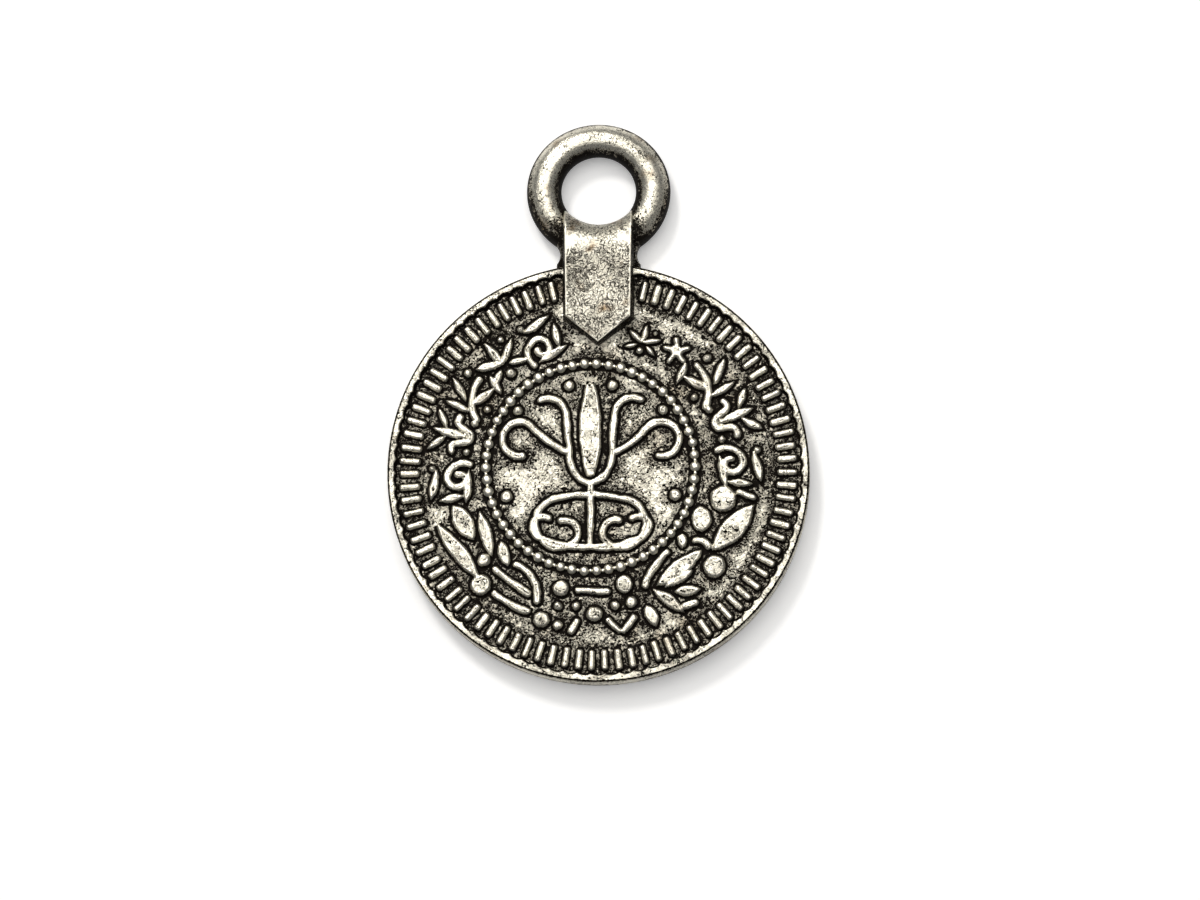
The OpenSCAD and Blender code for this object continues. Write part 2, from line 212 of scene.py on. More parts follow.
STROKE_STEP = 0.08     # length of one straight piece of a stroke's middle line
FAR = 9.0              # a distance larger than any that matters
REACH = 0.6            # how far around a leaf, berry or star its outline and groove can lie
STROKE_REACH = 0.5     # the same around a stroke
STRAP_SHADE = 2.25     # half of the width under the strap, where no bars are
BARS_FROM = 9.6        # radius outside which the bars lie
BAR_MARGIN = 0.12      # from the bars' inner ends to the seam of their sheet
SKIRT = 0.2            # how deep a sheet's folded edge reaches into the coin
UNDER_FIELD = 0.12     # how far below the field the coin's body is closed
FLOOR_DROP = 0.02      # keeps the floor from flickering through the coin's back
WELD = 1e-5            # points closer than this are made one
STRAP_LEAN = 10        # draft of the strap's side walls, in degrees
BEAD_SHAPE = (1.18, 1.18, 0.66, 1)    # a bead against a ball: broader and lower

# Steps of the meshes
COIN_STEPS = 360
RING_STEPS, RING_SIDES = 168, 48
MIDDLE_GRID = 264
BAND_GRID = (80, 1020)       # rows, and steps around
BAR_GRID = (48, 20)          # rows, and steps for each bar
STRAP_GRID = (60, 96, 20)    # columns, rows, and how many of the rows make the turn


# ---- sizes and colours that a user would change

def length(name, about, default):
    """A size in metres, given here in millimetres."""
    return FloatProperty(name=name, description=about, default=default * MM, min=0,
                         unit="LENGTH", subtype="DISTANCE", precision=5)


class PendantCoin(bpy.types.PropertyGroup):
    """Sizes of the coin and of the ornament on it."""
    width: length("Width", "Width of the coin across its face", 24)
    thickness: length("Thickness", "Height of the rim's top above the back", 1.75)
    field_depth: length("Field depth", "How far the field lies below the rim", 0.42)
    rim_width: length("Rim width", "Width of the rim at its scallops", 0.42)
    scallop_depth: length("Scallop depth", "How far the rim's points reach in", 0.13)
    edge_bevel: length("Edge bevel", "Bevel on the coin's two edges", 0.08)
    bar_count: IntProperty(name="Bars", description="Number of bars around the edge",
                           default=90, min=60)
    bar_length: length("Bar length", "Length of a bar along the radius", 1.24)
    bar_width: length("Bar width", "Width of a bar", 0.42)
    bar_gap: length("Bar gap", "Space between the rim's points and the bars", 0.09)
    relief_rise: length("Relief", "Height of the ornament above the field", 0.28)
    bead_count: IntProperty(name="Beads", description="Number of beads in the circle",
                            default=54, min=30)
    bead_width: length("Bead width", "Width of one bead", 0.52)
    link_width: length("Link width", "Width of the tiny beads between them", 0.16)
    bead_circle_width: length("Bead circle", "Width of the bead circle", 11.9)
    bead_circle_left: length("Circle to the left", "How far the circle lies to the left", 0.45)
    bead_circle_up: length("Circle up", "How far the circle lies above the middle", 0.33)
    stroke_width: length("Stroke width", "Width of a scroll stroke", 0.46)
    spray_height: length("Spray height", "Height of the flower spray", 10.2)
    sprig_length: length("Sprig length", "Length of one full sprig", 3.5)
    star_width: length("Star width", "Width of the star over its points", 1.7)
    leaf_length: length("Leaf length", "Length of the longest wreath leaf", 2.7)
    leaf_width: length("Leaf width", "Width of the broadest wreath leaf", 1.35)
    berry_width: length("Berry width", "Width of the largest wreath berry", 1.55)


class PendantHanger(bpy.types.PropertyGroup):
    """Sizes of the ring, the neck and the strap."""
    ring_width: length("Ring width", "Width of the oval ring", 8.2)
    ring_height: length("Ring height", "Height of the oval ring", 7.8)
    ring_thickness: length("Ring thickness", "Thickness of the ring", 1.88)
    ring_gap: length("Ring gap", "Space between the ring and the coin", 0.36)
    strap_width: length("Strap width", "Width of the strap's face at the ring", 3.9)
    strap_taper: length("Strap taper", "How much narrower the strap is at its shoulders", 0.2)
    strap_overhang: length("Strap overhang", "How far the strap's end reaches over the hole", 0.1)
    strap_arc_extra: length("Strap arc", "How much wider than the hole the strap's end is", 0.3)
    strap_length: length("Strap length", "Length of the strap's face", 6.95)
    strap_point: length("Strap point", "Length of the strap's point", 1.5)
    strap_rise: length("Strap rise", "Height of the strap's face above the rim", 0.7)
    strap_round: length("Strap round", "Radius of the strap's turn over the ring", 1.3)
    neck_width: length("Neck width", "Width of the neck at its narrowest", 4.4)
    neck_thickness: length("Neck thickness", "Thickness of the neck", 1.3)
    neck_hollow: length("Neck hollow", "Radius of the hollows in the neck's sides", 0.8)


def colour(name, about, default):
    """A colour that the user can pick."""
    return FloatVectorProperty(name=name, description=about, default=default, size=3,
                               min=0, max=1, subtype="COLOR")


class PendantFinish(bpy.types.PropertyGroup):
    """Colours of the antiqued metal."""
    worn_and_highlight: colour("Worn silver", "Rubbed high points", (0.87, 0.828, 0.70))
    dull: colour("Dull silver", "Metal between high points and recesses", (0.40, 0.365, 0.288))
    patina_and_shade: colour("Patina", "Near-black oxide in the recesses", (0.0070, 0.0050, 0.0033))
    stain: colour("Stain", "Brown tarnish", (0.34, 0.235, 0.13))


class PendantStage(bpy.types.PropertyGroup):
    """The view and the light."""
    tilt: FloatProperty(name="Tilt", description="Lean of the camera towards the coin's foot",
                        default=math.radians(8.4), unit="ROTATION", subtype="ANGLE")
    side: FloatProperty(name="Side", description="Lean of the camera to the right",
                        default=math.radians(2.0), unit="ROTATION", subtype="ANGLE")
    lens: FloatProperty(name="Lens", description="Focal length in millimetres", default=300, min=20)
    frame_width: length("Frame width", "Width of the view at the coin's face", 68.15)


# ---- noise and the ornament's shapes, worked out in millimetres from the coin's middle

def noise(points, size, seed):
    """Smooth noise from -1 to 1 whose blobs are about size wide."""
    place = points[:, :2] / size + 31.7 * seed
    cell = np.floor(place).astype(np.int64)
    share = place - cell
    share = share * share * (3 - 2 * share)

    def corner(across, up):
        mixed = (cell[:, 0] + across) * 73856093 ^ (cell[:, 1] + up) * 19349663 ^ seed * 83492791
        mixed = (mixed ^ (mixed >> 13)) * 1274126177 & 0x7FFFFFFF
        mixed = (mixed ^ (mixed >> 11)) & 0xFFFF
        return mixed / 32767.5 - 1

    low = corner(0, 0) * (1 - share[:, 0]) + corner(1, 0) * share[:, 0]
    high = corner(0, 1) * (1 - share[:, 0]) + corner(1, 1) * share[:, 0]
    return low * (1 - share[:, 1]) + high * share[:, 1]


def ease(low, high, value):
    """Goes smoothly from 0 at low to 1 at high."""
    share = np.clip((value - low) / (high - low), 0, 1)
    return share * share * (3 - 2 * share)


def hill(value, middle, width):
    """A smooth hill, 1 where value is at middle."""
    return np.exp(-((value - middle) / width) ** 2)


def turned(degrees):
    """The direction of an angle, as a complex number."""
    return complex(math.cos(math.radians(degrees)), math.sin(math.radians(degrees)))


def walk(start, heading, runs, unit):
    """Points of a stroke's middle line as complex numbers: runs of length and turn."""
    points, place, angle = [start], start, heading
    for run_length, turn in runs:
        steps = max(2, math.ceil(run_length * unit / STROKE_STEP))
        for _ in range(steps):
            place += run_length * unit / steps * turned(angle + turn / steps / 2)
            angle += turn / steps
            points.append(place)
    return points


class Ornament:
    """The strokes, leaves, berries and star of the face."""

    def __init__(self, coin):
        self.coin_r = coin.width / MM / 2
        self.strokes, self.leaves, self.berries = [], [], []
        self.half = coin.stroke_width / MM / 2
        self.spray(coin)
        for place in SPRIGS:
            self.sprig(coin, place)
        self.wreath(coin)
        self.star_middle = complex(*STAR_PLACE) * self.coin_r
        self.star_r = coin.star_width / MM / 2

    def spray(self, coin):
        unit = coin.spray_height / MM / 10
        middle = complex(-coin.bead_circle_left, coin.bead_circle_up) / MM
        foot, long = SPRAY_STEM
        self.strokes.append([middle + 1j * foot * unit, middle + 1j * (foot + long) * unit])
        up, long, wide = SPRAY_LEAF
        self.leaves.append((middle + 1j * up * unit, 1j, long * unit, wide * unit))
        for hand in (1, -1):
            for x, y, heading, runs in SPRAY:
                line = walk(complex(x, y) * unit, heading, runs, unit)
                self.strokes.append([middle + complex(hand * p.real, p.imag) for p in line])
            for x, y, wide in SPRAY_DOTS:
                spot = middle + complex(hand * x, y) * unit
                self.berries.append((spot, wide * coin.stroke_width / MM))

    def sprig(self, coin, place):
        around, distance, hand, size, kind = place
        unit = coin.sprig_length / MM * size / 10
        facing = turned(around - 90)
        middle = distance * self.coin_r * turned(around)

        def put(p):
            return middle + facing * complex(hand * p.real, p.imag)

        for row in SPRIG_STROKES:
            if row[0] == kind:
                line = walk(complex(row[1], row[2]) * unit, row[3], row[4], unit)
                self.strokes.append([put(p) for p in line])
        for name, x, y, turn, long, wide in SPRIG_LEAVES:
            if name == kind:
                spot = put(complex(x, y) * unit)
                along = put(complex(x, y) * unit + turned(turn)) - spot
                self.leaves.append((spot, along, long * unit, wide * unit))
        for name, x, y, wide in SPRIG_BERRIES:
            if name == kind:
                self.berries.append((put(complex(x, y) * unit), wide * unit))

    def wreath(self, coin):
        long, wide = coin.leaf_length / MM, coin.leaf_width / MM
        for x, y, turn, length_share, width_share in LEAVES:
            size = length_share * long, width_share * wide
            self.leaves.append((complex(x, y) * self.coin_r, turned(turn), *size))
        for x, y, width_share in BERRIES:
            size = width_share * coin.berry_width / MM
            self.berries.append((complex(x, y) * self.coin_r, size))
        for x, y, heading, length_share, turn in TWIGS:
            start = complex(x, y) * self.coin_r
            self.strokes.append(walk(start, heading, [(length_share, turn)], long))


def line_distance(points, line):
    """Distance of each point from a line of straight pieces."""
    nearest = np.full(len(points), FAR)
    for start, end in zip(line[:-1], line[1:]):
        span = end - start
        share = np.clip(((points - start) * np.conj(span)).real / abs(span) ** 2, 0, 1)
        nearest = np.minimum(nearest, np.abs(points - start - share * span))
    return nearest


class Face:
    """Height and tarnish, with painted highlights, of the coin's face at points across it."""

    def __init__(self, coin):
        self.coin = coin
        self.ornament = Ornament(coin)
        self.coin_r = coin.width / MM / 2
        self.top = coin.thickness / MM
        self.field = self.top - coin.field_depth / MM
        self.rise = coin.relief_rise / MM
        self.scallop_r = self.coin_r - coin.rim_width / MM
        self.point_r = self.scallop_r - coin.scallop_depth / MM
        self.pitch = 2 * math.pi / coin.bar_count
        self.bead_middle = complex(-coin.bead_circle_left, coin.bead_circle_up) / MM
        self.bead_circle_r = coin.bead_circle_width / MM / 2

    def wavy(self, points):
        """The points shifted a little, so that the cast edges waver as they do on a worn mould."""
        shift_x = 0.045 * noise(points, 0.62, 1) + 0.022 * noise(points, 0.24, 2)
        shift_y = 0.045 * noise(points, 0.62, 3) + 0.022 * noise(points, 0.24, 4)
        return points[:, 0] + shift_x + 1j * (points[:, 1] + shift_y)

    def add(self, near, distance, shoulder, rise):
        """Adds a raised shape: distance is below zero inside it, shoulder its rounding."""
        inside = np.clip(-distance / shoulder, 0, 1)
        bell = rise * np.sqrt(1 - (1 - inside) ** 2)
        self.height[near] = np.maximum(self.height[near], bell)
        self.edge[near] = np.minimum(self.edge[near], distance)

    def shape(self, points):
        """Works out height and edge distance of the relief at the points."""
        place = self.wavy(points)
        self.height = np.zeros(len(points))
        self.edge = np.full(len(points), FAR)
        self.add_strokes(points, place)
        self.add_leaves(place)
        self.add_berries(place)
        self.add_star(place)
        self.add_bars(points)

    def add_strokes(self, points, place):
        half = self.ornament.half
        reach = half + STROKE_REACH
        for line in self.ornament.strokes:
            line = np.array(line)
            near = np.flatnonzero(
                (place.real > line.real.min() - reach) & (place.real < line.real.max() + reach)
                & (place.imag > line.imag.min() - reach) & (place.imag < line.imag.max() + reach))
            if len(near):
                uneven = half * (1.0 + 0.13 * noise(points[near], 0.8, 5))
                distance = line_distance(place[near], line) - uneven
                self.add(near, distance, half * 0.62, self.rise)

    def add_leaves(self, place):
        for middle, along, long, wide in self.ornament.leaves:
            near = np.flatnonzero(np.abs(place - middle) < long / 2 + REACH)
            if len(near):
                local = (place[near] - middle) * np.conj(along)
                soft = wide * 0.40
                slim, tall = wide - 2 * soft, long - 2 * soft
                bow = (tall ** 2 + slim ** 2) / (4 * slim)
                lift = bow - wide / 2 + soft
                farther = np.maximum(np.abs(local + 1j * lift), np.abs(local - 1j * lift))
                self.add(near, farther - bow - soft, min(0.15, wide / 2.4), self.rise)

    def add_berries(self, place):
        for middle, wide in self.ornament.berries:
            near = np.flatnonzero(np.abs(place - middle) < wide / 2 + REACH)
            if len(near):
                distance = np.abs(place[near] - middle) - wide / 2
                self.add(near, distance, min(0.19, wide / 2.5), self.rise * 1.08)

    def add_star(self, place):
        star = place - self.ornament.star_middle
        star_r = self.ornament.star_r
        near = np.flatnonzero(np.abs(star) < star_r + REACH)
        if len(near):
            fifth = 2 * math.pi / 5
            angle = (np.angle(star[near] / 1j) + math.pi / 5) % fifth - math.pi / 5
            along = np.abs(star[near]) * np.exp(1j * angle)
            arm = line_distance(along, [0j, complex(star_r - STAR_ARM, 0)]) - STAR_ARM * 1.1
            self.add(near, np.minimum(arm, np.abs(along) - 0.4), 0.16, self.rise)

    def add_bars(self, points):
        coin = self.coin
        radius = np.hypot(points[:, 0], points[:, 1])
        angle = np.arctan2(points[:, 1], points[:, 0])
        bar = np.round(angle / self.pitch)
        odd = np.stack([bar * 1.37, bar * 0.61], axis=1)
        middle = self.point_r - (coin.bar_gap + coin.bar_length / 2) / MM + 0.03 * noise(odd, 1, 6)
        half_long = coin.bar_length / MM / 2 * (1 + 0.05 * noise(odd, 1, 7))
        uneven = 1 + 0.10 * noise(odd, 1, 8) + 0.07 * noise(points, 0.4, 9)
        half_wide = coin.bar_width / MM / 2 * uneven
        across = radius * np.sin(angle - bar * self.pitch + 0.004 * noise(odd, 1, 10))
        out = radius - middle
        corner = half_wide * 0.8
        past_x = np.abs(out) - half_long + corner
        past_y = np.abs(across) - half_wide + corner
        outside = np.hypot(np.maximum(past_x, 0), np.maximum(past_y, 0))
        distance = outside + np.minimum(np.maximum(past_x, past_y), 0) - corner
        strapped = (np.abs(points[:, 0]) < STRAP_SHADE) & (points[:, 1] > 0)
        shown = np.flatnonzero((radius > BARS_FROM) & ~strapped)
        self.add(shown, distance[shown], coin.bar_width / MM * 0.38, self.rise)

    def rim_edge(self, angle):
        """Radius of the rim's scalloped inner edge at an angle."""
        half_pitch = self.point_r * math.sin(self.pitch / 2)
        depth = self.scallop_r - self.point_r
        arch_r = (half_pitch ** 2 + depth ** 2) / (2 * depth)
        middle_r = self.scallop_r - arch_r
        off = (angle / self.pitch) % 1 * self.pitch - self.pitch / 2
        return middle_r * np.cos(off) + np.sqrt(arch_r ** 2 - (middle_r * np.sin(off)) ** 2)

    def surface(self, points):
        """Height above the back, and tarnish with painted highlights from 0 for rubbed to BLACK, at
        the points.
        """
        self.shape(points)
        radius = np.hypot(points[:, 0], points[:, 1])
        angle = np.arctan2(points[:, 1], points[:, 0])
        into_rim = radius - self.rim_edge(angle) - 0.02 * noise(points, 0.5, 11)
        skin = (0.012 * noise(points, 0.5, 12) + 0.011 * noise(points, 0.21, 13)
                + 0.007 * noise(points, 0.11, 14))
        groove_and_painted_line = -0.035 * hill(np.maximum(self.edge, 0), 0, 0.11) * (self.height <= 0)
        top_skin = 0.010 * noise(points, 0.34, 15) - 0.010
        raised = np.minimum(self.height / self.rise, 1)
        z = self.field + self.height + groove_and_painted_line + skin * (1 - raised) + top_skin * raised
        rim = ease(-0.05, 0.09, into_rim)
        rim_top = self.top - 0.012 + 0.006 * noise(points, 0.8, 16) + 0.005 * noise(points, 0.3, 17)
        bevel = self.coin.edge_bevel / MM
        edge_drop = np.maximum(radius - (self.coin_r - bevel * 1.5), 0)
        rim_top = rim_top - edge_drop ** 2 / (bevel * 1.5)
        z = z * (1 - rim) + rim_top * rim
        return z, self.patina_and_shade(points, radius, into_rim)

    def patina_and_shade(self, points, radius, into_rim):
        """Tarnish of the field, of the raised forms with their dark outlines, and of the rim with a
        dark line along its outer bevel; a painted highlight lies just inside the edges of the
        raised forms' tops.
        """
        beads = np.abs(points[:, 0] + 1j * points[:, 1] - self.bead_middle)
        bead_edge = np.abs(beads - self.bead_circle_r) - self.coin.bead_width / MM / 2
        edge = np.minimum(self.edge, np.maximum(bead_edge, 0.02))
        edge = np.minimum(edge, np.maximum(-into_rim, 0.0))
        patches = (0.30 * noise(points, 1.9, 20) + 0.20 * noise(points, 0.8, 21)
                   + 0.10 * noise(points, 0.35, 22))
        open_field = ease(0.18, 0.85, np.minimum(edge, np.abs(beads - self.bead_circle_r)))
        field = 0.60 - 0.26 * open_field - 0.34 * patches
        for x, y, reach in WORN_PATCHES:
            gap = np.hypot(points[:, 0] - x * self.coin_r, points[:, 1] - y * self.coin_r)
            rubbed = 0.30 * hill(gap, 0, reach * self.coin_r)
            field = field - rubbed * (0.35 + 0.65 * open_field)
        barred = radius > self.scallop_r - 1.5
        field = np.where(barred, np.maximum(field, 0.62), field)
        field = np.clip(field, 0.23, 0.84)
        ragged = edge + 0.03 * noise(points, 0.3, 26) + 0.05 * barred
        outline = BLACK - BLACK * ease(0.05, 0.19, ragged)
        value = np.maximum(field, outline)
        # The raised forms: black right at their edges, which continues their outlines, then a
        # painted highlight just inside the edges, and duller towards the middles of broad tops.
        depth = -self.edge
        top = 0.05 + (0.24 + 0.20 * noise(points, 0.45, 23)) * ease(0.14, 0.24, depth)
        relief = BLACK - (BLACK - top) * ease(0.0, 0.05, depth)
        value = np.where(depth > 0, relief, value)
        rim_value = 0.225 + 0.15 * noise(points, 0.9, 24) + 0.11 * noise(points, 0.3, 25)
        line = self.coin_r - self.coin.edge_bevel / MM
        rim_value = np.maximum(rim_value, 1.2 * hill(radius - line, 0.02, 0.05))
        shown_rim = ease(0.015, 0.075, into_rim)
        return np.clip(value * (1 - shown_rim) + rim_value * shown_rim, 0, BLACK)


# ---- meshes and materials

def coin_shift():
    """How far the coin's middle lies from the middle of the whole length, in millimetres."""
    coin, hanger = bpy.context.scene.pendant_coin, bpy.context.scene.pendant_hanger
    return (coin.width / 2 - (coin.width + hanger.ring_gap + hanger.ring_height) / 2) / MM


def mesh_points(mesh):
    flat = np.empty(len(mesh.vertices) * 3, np.float32)
    mesh.vertices.foreach_get("co", flat)
    return flat.reshape(-1, 3).astype(float)


def finish_piece(name, bm, patina_and_shade, material, shape=None):
    """Turns a bmesh in millimetres about the coin's middle into a piece in its place.
    shape moves the points of the mesh, and the function passed before the material gives each point
    its tarnish, painted shade and painted highlights."""
    mesh = bpy.data.meshes.new(name)
    bm.to_mesh(mesh)
    bm.free()
    points = mesh_points(mesh)
    if shape:
        points = shape(points)
    tarnish_and_shade = patina_and_shade(points)
    points[:, 1] += coin_shift()
    mesh.vertices.foreach_set("co", (points * MM).astype(np.float32).ravel())
    attribute = mesh.attributes.new("patina_and_shade", "FLOAT", "POINT")
    attribute.data.foreach_set("value", np.asarray(tarnish_and_shade, np.float32))
    mesh.materials.append(material)
    mesh.shade_smooth()
    mesh.update()
    piece = bpy.data.objects.new(name, mesh)
    bpy.context.scene.collection.objects.link(piece)
    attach(piece, "root")
    return piece


def drop_edges(bm, depth):
    """Folds a sheet's open edges down, so that its seams close inside the coin."""
    edges = [edge for edge in bm.edges if edge.is_boundary]
    made = bmesh.ops.extrude_edge_only(bm, edges=edges)
    folded = [item for item in made["geom"] if isinstance(item, bmesh.types.BMVert)]
    bmesh.ops.translate(bm, verts=folded, vec=(0, 0, -depth))


def node(tree, kind, **values):
    """A node with its settings and input values; names with a capital are inputs."""
    made = tree.nodes.new(kind)
    for name, value in values.items():
        if name[0].isupper():
            made.inputs[name.replace("_", " ")].default_value = value
        else:
            setattr(made, name, value)
    return made


def silver(name):
    """Antiqued silver: worn high points, dull metal, speckled black recesses and brown tarnish,
    with the painted shade, highlights and reflections that each piece's per-point value carries.
    """
    found = bpy.data.materials.get(name)
    if found:
        return found
    grain, pit_depth, roughness, stain_share, speck, creased, dim = FINISHES[name]
    grain, pit_depth = grain * MM, pit_depth * MM
    finish = bpy.context.scene.pendant_finish
    material = bpy.data.materials.new(name)
    material.use_nodes = True
    tree = material.node_tree
    tree.nodes.clear()
    link = tree.links.new
    out = node(tree, "ShaderNodeOutputMaterial")
    shader = node(tree, "ShaderNodeBsdfPrincipled")
    link(shader.outputs["BSDF"], out.inputs["Surface"])
    place = node(tree, "ShaderNodeTexCoord")
    tarnish_and_shade = node(tree, "ShaderNodeAttribute", attribute_name="patina_and_shade", attribute_type="GEOMETRY")

    def grain_noise(size, detail, distortion=0.0):
        made = node(tree, "ShaderNodeTexNoise", Scale=1 / size, Detail=detail, Roughness=0.6,
                    Distortion=distortion)
        link(place.outputs["Object"], made.inputs["Vector"])
        return made.outputs["Fac"]

    def maths(kind, first, second, clamp=False):
        made = node(tree, "ShaderNodeMath", operation=kind, use_clamp=clamp)
        for socket, value in zip(made.inputs, (first, second)):
            if isinstance(value, (int, float)):
                socket.default_value = value
            else:
                link(value, socket)
        return made.outputs[0]

    def spread(value, low, high, to_low=0.0, to_high=1.0):
        made = node(tree, "ShaderNodeMapRange", From_Min=low, From_Max=high,
                    To_Min=to_low, To_Max=to_high)
        link(value, made.inputs["Value"])
        return made.outputs["Result"]

    def blend(share, first, second):
        made = node(tree, "ShaderNodeMix", data_type="RGBA")
        link(share, made.inputs["Factor"])
        for socket, value in zip((made.inputs[6], made.inputs[7]), (first, second)):
            if hasattr(value, "links"):
                link(value, socket)
            else:
                socket.default_value = (*value, 1)
        return made.outputs[2]

    specks = spread(grain_noise(grain, 2.5, 1.4), 0.33, 0.67)
    cloud = spread(grain_noise(grain * 5, 2.0), 0.30, 0.70)
    # thin lines where a curled noise passes its middle
    crease = maths("SUBTRACT", grain_noise(CREASE_SIZE * MM, 0.0, 1.2), 0.5)
    crease = spread(maths("ABSOLUTE", crease, 0), 0.01, 0.08, 1, 0)
    crease = maths("MULTIPLY", crease, creased)
    amount = tarnish_and_shade.outputs["Fac"]
    # where the specks lie lower than the tarnish and painted shade, the metal is black
    level = maths("ADD", amount, maths("MULTIPLY", maths("SUBTRACT", cloud, 0.5), 0.16))
    black = spread(maths("SUBTRACT", level, maths("MULTIPLY", specks, speck)), -0.03, 0.09)
    dulling = maths("ADD", amount, maths("MULTIPLY", maths("SUBTRACT", specks, 0.5), 0.4))
    unrubbed = spread(amount, 0.05, 0.25, 0.1, 1)
    crease = maths("MULTIPLY", crease, unrubbed)
    dulling = maths("ADD", spread(dulling, 0.16, 0.95), maths("MULTIPLY", unrubbed, dim), True)
    metal = blend(dulling, tuple(finish.worn_and_highlight), tuple(finish.dull))
    brown = spread(grain_noise(grain * 14, 2.0), 0.60, 0.80, 0.0, stain_share)
    metal = blend(brown, metal, tuple(finish.stain))
    metal = blend(crease, metal, tuple(finish.patina_and_shade))
    link(blend(black, metal, tuple(finish.patina_and_shade)), shader.inputs["Base Color"])
    link(spread(black, 0, 1, 1.0, 0.0), shader.inputs["Metallic"])
    shader.inputs["Specular IOR Level"].default_value = SPECULAR
    uneven = maths("MULTIPLY", maths("SUBTRACT", specks, 0.5), 0.12)
    rough = maths("ADD", spread(black, 0, 1, roughness, 0.62), uneven)
    link(rough, shader.inputs["Roughness"])
    relief = maths("ADD", maths("MULTIPLY", specks, 0.7), maths("MULTIPLY", cloud, 0.5))
    relief = maths("SUBTRACT", maths("MULTIPLY", relief, spread(amount, 0, 0.5, 0.35, 1)), crease)
    bump = node(tree, "ShaderNodeBump", Strength=1.0, Distance=pit_depth)
    link(maths("SUBTRACT", relief, maths("MULTIPLY", black, 0.5)), bump.inputs["Height"])
    link(bump.outputs["Normal"], shader.inputs["Normal"])
    return material


# ---- one operator for each piece or group of like pieces

class PENDANT_OT_coin_body(bpy.types.Operator):
    """Spins the coin's back and side wall"""
    bl_idname = "pendant.coin_body"
    bl_label = "Coin back and side"

    def execute(self, context):
        coin = context.scene.pendant_coin
        radius, top, bevel = coin.width / MM / 2, coin.thickness / MM, coin.edge_bevel / MM
        floor = top - coin.field_depth / MM - UNDER_FIELD
        profile = [(radius * share, 0) for share in np.linspace(0, 0.96, 20)]
        profile += [(radius - bevel + bevel * math.sin(a), bevel - bevel * math.cos(a))
                    for a in np.linspace(0, math.pi / 2, 5)]
        profile += [(radius, bevel + (top - 2.5 * bevel) * share)
                    for share in (0.2, 0.4, 0.6, 0.8, 1.0)]
        profile += [(radius - 0.03, floor), (radius / 2, floor), (0, floor)]
        bm = bmesh.new()
        verts = [bm.verts.new((x, 0, z)) for x, z in profile]
        edges = [bm.edges.new(pair) for pair in zip(verts[:-1], verts[1:])]
        bmesh.ops.spin(bm, geom=verts + edges, cent=(0, 0, 0), axis=(0, 0, 1), angle=2 * math.pi,
                       steps=COIN_STEPS, use_merge=True)
        bmesh.ops.remove_doubles(bm, verts=bm.verts, dist=WELD)
        bmesh.ops.recalc_face_normals(bm, faces=bm.faces)

        def patina_and_shade(points):
            wall = np.hypot(points[:, 0], points[:, 1]) > radius - 0.05
            # The side wall darkens towards its foot.
            side = 0.42 + 0.16 * noise(points, 1.6, 30) + 0.30 * ease(0.55, 0.0, points[:, 2])
            back = 0.34 + 0.20 * noise(points, 2.6, 31) + 0.14 * noise(points, 0.9, 32)
            return np.clip(np.where(wall, side, back), 0.05, 0.95)

        piece = finish_piece("coin_body", bm, patina_and_shade, silver("silver_side"))
        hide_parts("pendant")
        return {"FINISHED"}


class PENDANT_OT_coin_face(bpy.types.Operator):
    """Shapes the field inside the bead circle, the band around it, and the bars with the rim"""
    bl_idname = "pendant.coin_face"
    bl_label = "Coin face"

    def execute(self, context):
        coin = context.scene.pendant_coin
        face = Face(coin)
        finish = silver("silver_relief")
        store = {}

        def shaped(flat):
            """Puts a flat sheet's points at the face's height; folded edges stay below."""
            z, tarnish_and_shade = face.surface(flat)
            fold = flat[:, 2] < -SKIRT / 2
            store["patina_and_shade"] = np.where(fold, 1, tarnish_and_shade)
            return np.column_stack([flat[:, 0], flat[:, 1], np.where(fold, z - SKIRT, z)])

        # the middle: a square grid drawn out to a disc
        bm = bmesh.new()
        bmesh.ops.create_grid(bm, x_segments=MIDDLE_GRID, y_segments=MIDDLE_GRID, size=1)
        drop_edges(bm, SKIRT)
        middle, middle_r = face.bead_middle, face.bead_circle_r

        def disc(points):
            u, v = points[:, 0], points[:, 1]
            x = u * np.sqrt(1 - v * v / 2) * middle_r + middle.real
            y = v * np.sqrt(1 - u * u / 2) * middle_r + middle.imag
            return shaped(np.column_stack([x, y, points[:, 2]]))

        finish_piece("field_middle", bm, lambda points: store["patina_and_shade"], finish, disc)

        # the two rings around it, bent round from a long grid
        bars_r = face.point_r - (coin.bar_gap + coin.bar_length) / MM - BAR_MARGIN
        bar_grid = (BAR_GRID[0], coin.bar_count * BAR_GRID[1])
        rings = [
            ("field_band", BAND_GRID, (middle, middle_r), (0j, bars_r)),
            ("bars_and_rim", bar_grid, (0j, bars_r), (0j, face.coin_r)),
        ]
        for name, (rows, steps), inner, outer in rings:
            bm = bmesh.new()
            bmesh.ops.create_grid(bm, x_segments=steps, y_segments=rows, size=1)
            for vert in bm.verts:
                angle, far = -math.pi * vert.co.x, 1.5 + vert.co.y / 2
                vert.co = (far * math.cos(angle), far * math.sin(angle), 0)
            seam = [vert for vert in bm.verts if vert.co.x < 0]
            bmesh.ops.remove_doubles(bm, verts=seam, dist=WELD)
            drop_edges(bm, SKIRT)

            def ring(points, inner=inner, outer=outer):
                around = points[:, 0] + 1j * points[:, 1]
                share = np.abs(around) - 1
                around = around / np.abs(around)
                inside, outside = inner[0] + inner[1] * around, outer[0] + outer[1] * around
                place = (1 - share) * inside + share * outside
                return shaped(np.column_stack([place.real, place.imag, points[:, 2]]))

            finish_piece(name, bm, lambda points: store["patina_and_shade"], finish, ring)
        return {"FINISHED"}


